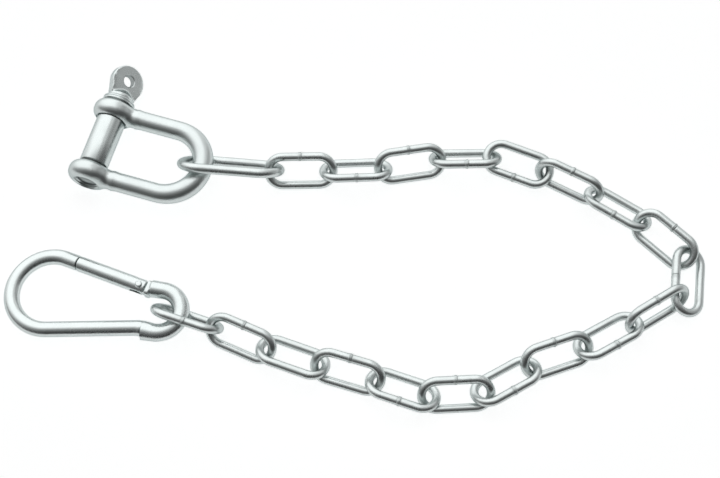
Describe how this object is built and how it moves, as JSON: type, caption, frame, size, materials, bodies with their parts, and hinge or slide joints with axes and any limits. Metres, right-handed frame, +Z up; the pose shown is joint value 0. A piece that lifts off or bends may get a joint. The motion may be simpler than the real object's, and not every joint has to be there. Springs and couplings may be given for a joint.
{
  "type": "chain with shackle and snap hook",
  "caption": "Length of long-link steel chain laid in a loose sideways U, ending in a D-shackle with a screw pin and in a spring snap hook.",
  "frame": {"origin": "on the floor, under the middle of the laid chain's outline", "axes": "+Z up from the floor the chain lies on, +X along the lay from the shackle and hook towards the bend, +Y from the hook's side towards the shackle's side"},
  "size_m": [0.6262, 0.3326, 0.0414],
  "materials": {
    "shackle_bow": "bright zinc plate",
    "shackle_pin": "bright zinc plate",
    "end_link": "bright zinc plate",
    "link_02": "bright zinc plate",
    "link_03": "bright zinc plate",
    "link_04": "bright zinc plate",
    "link_05": "bright zinc plate",
    "link_06": "bright zinc plate",
    "link_07": "bright zinc plate",
    "link_08": "bright zinc plate",
    "link_09": "bright zinc plate",
    "link_10": "bright zinc plate",
    "link_11": "bright zinc plate",
    "link_12": "bright zinc plate",
    "link_13": "bright zinc plate",
    "link_14": "bright zinc plate",
    "link_15": "bright zinc plate",
    "link_16": "bright zinc plate",
    "link_17": "bright zinc plate",
    "link_18": "bright zinc plate",
    "link_19": "bright zinc plate",
    "link_20": "bright zinc plate",
    "hook_body": "bright zinc plate",
    "hook_gate": "bright zinc plate",
    "gate_rivet": "bright zinc plate"
  },
  "bodies": {
    "shackle": {"shackle_bow": "shackle_bow"},
    "shackle_pin": {"shackle_pin": "shackle_pin"},
    "end_link": {"end_link": "end_link"},
    "link_02": {"link_02": "link_02"},
    "link_03": {"link_03": "link_03"},
    "link_04": {"link_04": "link_04"},
    "link_05": {"link_05": "link_05"},
    "link_06": {"link_06": "link_06"},
    "link_07": {"link_07": "link_07"},
    "link_08": {"link_08": "link_08"},
    "link_09": {"link_09": "link_09"},
    "link_10": {"link_10": "link_10"},
    "link_11": {"link_11": "link_11"},
    "link_12": {"link_12": "link_12"},
    "link_13": {"link_13": "link_13"},
    "link_14": {"link_14": "link_14"},
    "link_15": {"link_15": "link_15"},
    "link_16": {"link_16": "link_16"},
    "link_17": {"link_17": "link_17"},
    "link_18": {"link_18": "link_18"},
    "link_19": {"link_19": "link_19"},
    "link_20": {"link_20": "link_20"},
    "hook": {"hook_body": "hook_body"},
    "gate": {"hook_gate": "hook_gate", "gate_rivet": "gate_rivet"}
  },
  "joints": [
    {"name": "pin_withdrawal", "type": "slide", "parent": "shackle", "child": "shackle_pin", "axis": [0.284, 0.9588, 0], "range_m": [0, 0.085]},
    {"name": "end_link_swing", "type": "hinge", "parent": "shackle", "child": "end_link", "pos_m": [-0.14161, 0.07742, 0.0195], "axis": [-0.2015, 0.9795, 0], "range_deg": [-10, 45]},
    {"name": "link_02_swing", "type": "hinge", "parent": "end_link", "child": "link_02", "pos_m": [-0.07208, 0.06477, 0.01286], "axis": [-0.4066, 0.5613, -0.7208], "range_deg": [-45, 45]},
    {"name": "link_03_swing", "type": "hinge", "parent": "link_02", "child": "link_03", "pos_m": [-0.02264, 0.05778, 0.00948], "axis": [-0.4424, -0.67, -0.5962], "range_deg": [-45, 45]},
    {"name": "link_04_swing", "type": "hinge", "parent": "link_03", "child": "link_04", "pos_m": [0.02905, 0.06186, 0.01334], "axis": [-0.1281, -0.814, 0.5665], "range_deg": [-45, 45]},
    {"name": "link_05_swing", "type": "hinge", "parent": "link_04", "child": "link_05", "pos_m": [0.07837, 0.07504, 0.01483], "axis": [-0.2657, 0.6773, 0.6861], "range_deg": [-45, 45]},
    {"name": "link_06_swing", "type": "hinge", "parent": "link_05", "child": "link_06", "pos_m": [0.12636, 0.08135, 0.00712], "axis": [-0.716, 0.5047, -0.4822], "range_deg": [-45, 0]},
    {"name": "link_07_swing", "type": "hinge", "parent": "link_06", "child": "link_07", "pos_m": [0.17363, 0.05318, 0.01301], "axis": [-0.7496, -0.6435, -0.1547], "range_deg": [-45, 5]},
    {"name": "link_08_swing", "type": "hinge", "parent": "link_07", "child": "link_08", "pos_m": [0.21548, 0.03469, 0.00787], "axis": [-0.7269, 0.139, -0.6725], "range_deg": [-45, 10]},
    {"name": "link_09_swing", "type": "hinge", "parent": "link_08", "child": "link_09", "pos_m": [0.26368, 0.01398, 0.00856], "axis": [0.0262, 0.874, -0.4853], "range_deg": [-45, 25]},
    {"name": "link_10_swing", "type": "hinge", "parent": "link_09", "child": "link_10", "pos_m": [0.30109, -0.01734, 0.01777], "axis": [-0.1113, 0.9027, 0.4156], "range_deg": [-5, 45]},
    {"name": "link_11_swing", "type": "hinge", "parent": "link_10", "child": "link_11", "pos_m": [0.28093, -0.05623, 0.01584], "axis": [0.1392, 0.9903, 0], "range_deg": [-10, 45]},
    {"name": "link_12_swing", "type": "hinge", "parent": "link_11", "child": "link_12", "pos_m": [0.24004, -0.08969, 0.01159], "axis": [-0.5461, 0.0274, 0.8373], "range_deg": [-5, 45]},
    {"name": "link_13_swing", "type": "hinge", "parent": "link_12", "child": "link_13", "pos_m": [0.19549, -0.11256, 0.01314], "axis": [0.5515, -0.6723, 0.4938], "range_deg": [-45, 45]},
    {"name": "link_14_swing", "type": "hinge", "parent": "link_13", "child": "link_14", "pos_m": [0.15189, -0.12951, 0.00672], "axis": [0.8397, -0.2666, -0.4731], "range_deg": [-45, 15]},
    {"name": "link_15_swing", "type": "hinge", "parent": "link_14", "child": "link_15", "pos_m": [0.1105, -0.15643, 0.01512], "axis": [-0.9183, 0.1981, -0.3428], "range_deg": [-15, 30]},
    {"name": "link_16_swing", "type": "hinge", "parent": "link_15", "child": "link_16", "pos_m": [0.06373, -0.15908, 0.00508], "axis": [-0.9074, 0.2903, 0.3038], "range_deg": [-15, 30]},
    {"name": "link_17_swing", "type": "hinge", "parent": "link_16", "child": "link_17", "pos_m": [0.01149, -0.14126, 0.01403], "axis": [0.1664, -0.9113, 0.3766], "range_deg": [-40, 45]},
    {"name": "link_18_swing", "type": "hinge", "parent": "link_17", "child": "link_18", "pos_m": [-0.0342, -0.12817, 0.00683], "axis": [0.5275, -0.6932, -0.4912], "range_deg": [-45, 25]},
    {"name": "link_19_swing", "type": "hinge", "parent": "link_18", "child": "link_19", "pos_m": [-0.082, -0.11512, 0.01577], "axis": [-0.4471, 0.8391, -0.31], "range_deg": [-45, 35]},
    {"name": "link_20_swing", "type": "hinge", "parent": "link_19", "child": "link_20", "pos_m": [-0.12862, -0.08884, 0.01171], "axis": [0.1362, 0.6904, 0.7105], "range_deg": [-45, 45]},
    {"name": "hook_swing", "type": "hinge", "parent": "link_20", "child": "hook", "pos_m": [-0.17636, -0.07183, 0.01581], "axis": [-0.0582, 0.0113, 0.9982], "range_deg": [-35, 45]},
    {"name": "gate_opening", "type": "hinge", "parent": "hook", "child": "gate", "pos_m": [-0.19151, -0.05091, 0.0132], "axis": [-0.0582, 0.0113, 0.9982], "range_deg": [0, 28], "stiffness_Nm_per_rad": 0.5, "springref_deg": -17.19}
  ]
}
